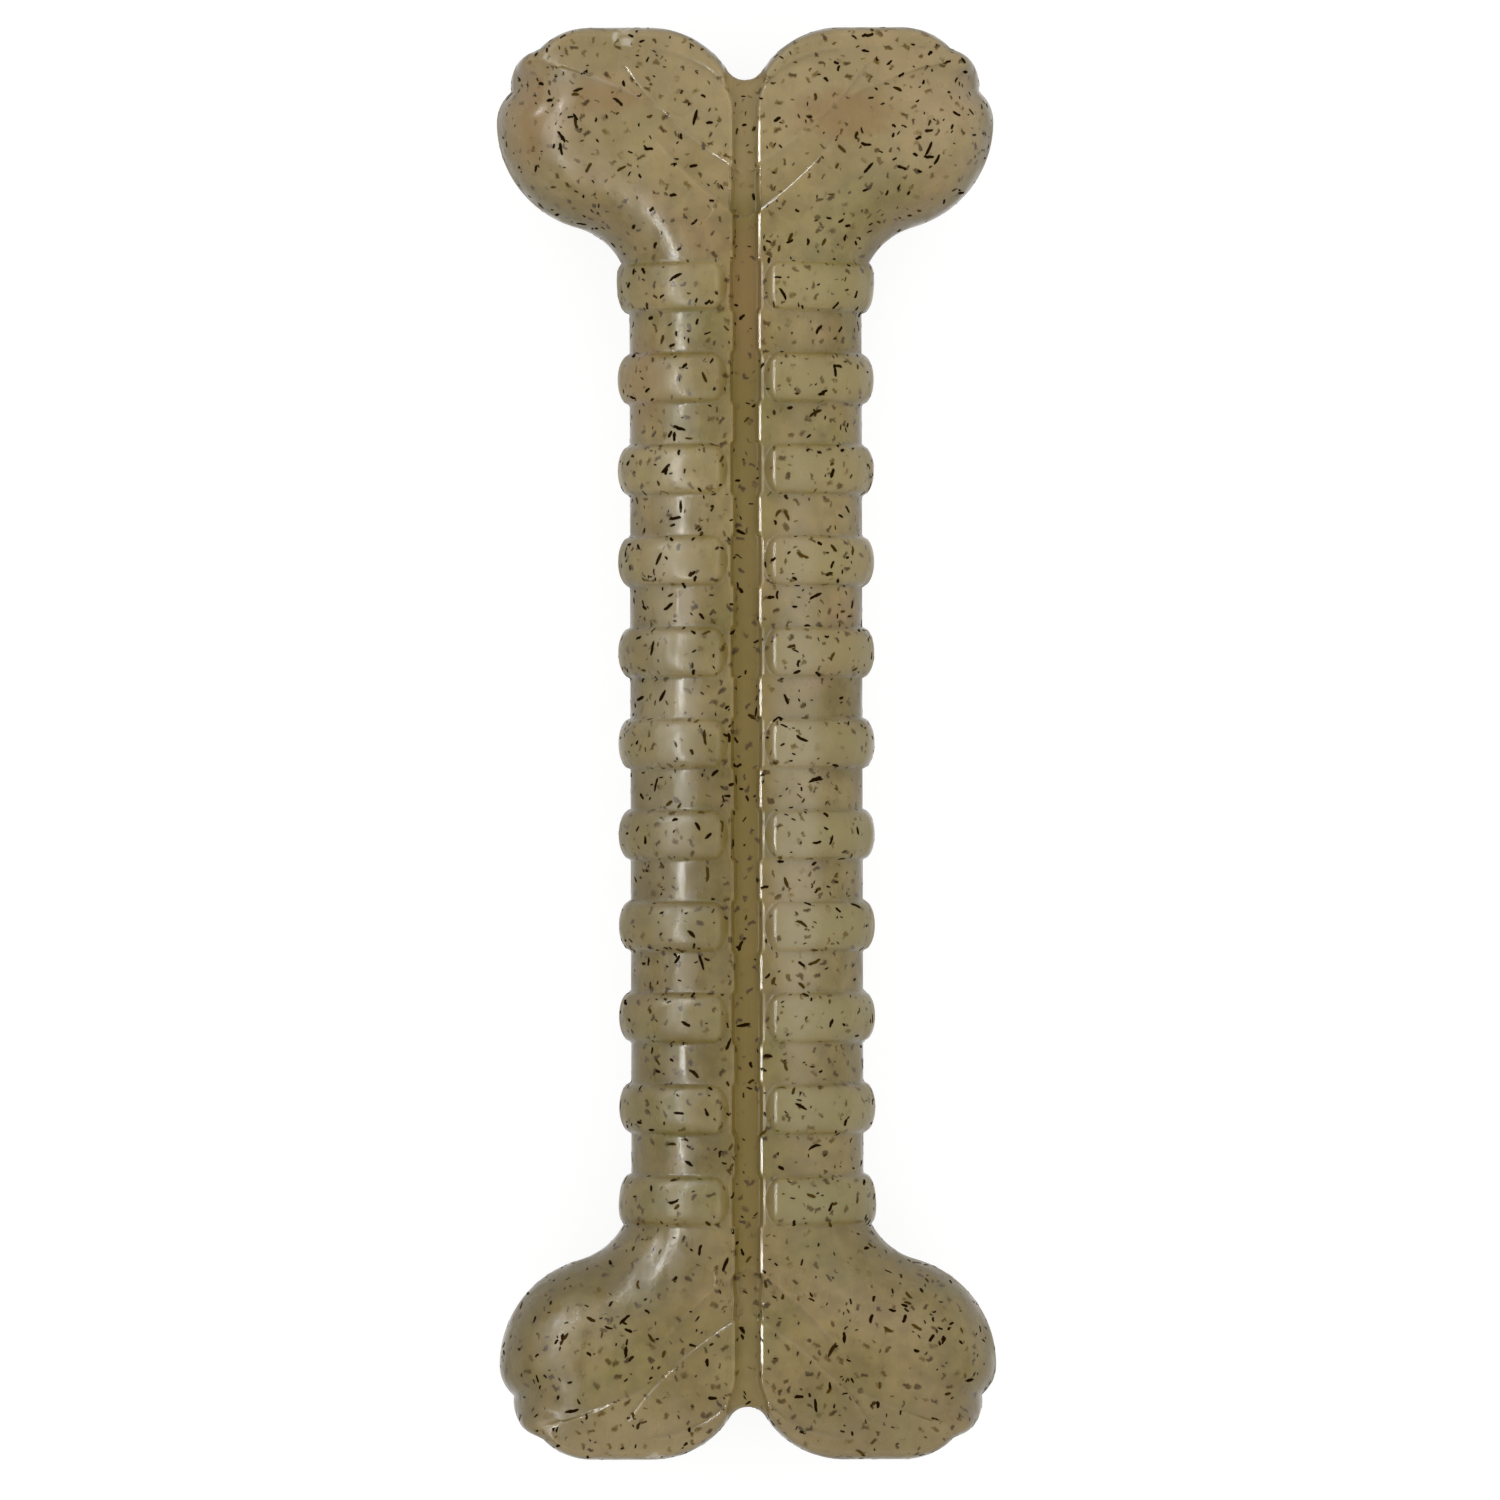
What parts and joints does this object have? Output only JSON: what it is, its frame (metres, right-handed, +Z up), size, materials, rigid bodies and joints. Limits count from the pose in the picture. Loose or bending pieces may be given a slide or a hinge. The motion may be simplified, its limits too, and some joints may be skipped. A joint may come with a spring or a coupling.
{
  "type": "nylon chew bone",
  "caption": "Solid moulded nylon dog chew in the shape of a bone: a ribbed shaft with a channel along its middle, a pair of grooved knuckles at each end, and dark fibre flecks in the surface.",
  "frame": {"origin": "centre of the bone's box, on the surface that its knuckles rest on", "axes": "+Y along the bone, +X across it to the right in the picture, +Z up out of the pictured face"},
  "size_m": [0.0642, 0.184, 0.0254],
  "materials": {
    "nylon": "satin moulded nylon, slightly translucent, cloudy tan",
    "fibre": "dark brown plant fibre, dull"
  },
  "bodies": {
    "root": {"nylon_body": "nylon", "fleck_rib_left_1": "fibre", "fleck_rib_left_2": "fibre", "fleck_rib_left_3": "fibre", "fleck_rib_left_4": "fibre", "fleck_rib_left_5": "fibre", "fleck_rib_left_6": "fibre", "fleck_rib_left_7": "fibre", "fleck_rib_left_8": "fibre", "fleck_rib_left_9": "fibre", "fleck_rib_left_10": "fibre", "fleck_rib_left_11": "fibre", "fleck_rib_right_1": "fibre", "fleck_rib_right_2": "fibre", "fleck_rib_right_3": "fibre", "fleck_rib_right_4": "fibre", "fleck_rib_right_5": "fibre", "fleck_rib_right_6": "fibre", "fleck_rib_right_7": "fibre", "fleck_rib_right_8": "fibre", "fleck_rib_right_9": "fibre", "fleck_rib_right_10": "fibre", "fleck_rib_right_11": "fibre", "fleck_gap_left_1": "fibre", "fleck_gap_left_2": "fibre", "fleck_gap_left_3": "fibre", "fleck_gap_left_4": "fibre", "fleck_gap_left_5": "fibre", "fleck_gap_left_6": "fibre", "fleck_gap_left_7": "fibre", "fleck_gap_left_8": "fibre", "fleck_gap_left_9": "fibre", "fleck_gap_left_10": "fibre", "fleck_gap_right_1": "fibre", "fleck_gap_right_2": "fibre", "fleck_gap_right_3": "fibre", "fleck_gap_right_4": "fibre", "fleck_gap_right_5": "fibre", "fleck_gap_right_6": "fibre", "fleck_gap_right_7": "fibre", "fleck_gap_right_8": "fibre", "fleck_gap_right_9": "fibre", "fleck_gap_right_10": "fibre", "fleck_near_left_knuckle_1": "fibre", "fleck_near_left_knuckle_2": "fibre", "fleck_near_left_knuckle_3": "fibre", "fleck_near_left_knuckle_4": "fibre", "fleck_near_right_knuckle_1": "fibre", "fleck_near_right_knuckle_2": "fibre", "fleck_near_right_knuckle_3": "fibre", "fleck_near_right_knuckle_4": "fibre", "fleck_far_left_knuckle_1": "fibre", "fleck_far_left_knuckle_2": "fibre", "fleck_far_left_knuckle_3": "fibre", "fleck_far_left_knuckle_4": "fibre", "fleck_far_right_knuckle_1": "fibre", "fleck_far_right_knuckle_2": "fibre", "fleck_far_right_knuckle_3": "fibre", "fleck_far_right_knuckle_4": "fibre"}
  },
  "joints": []
}
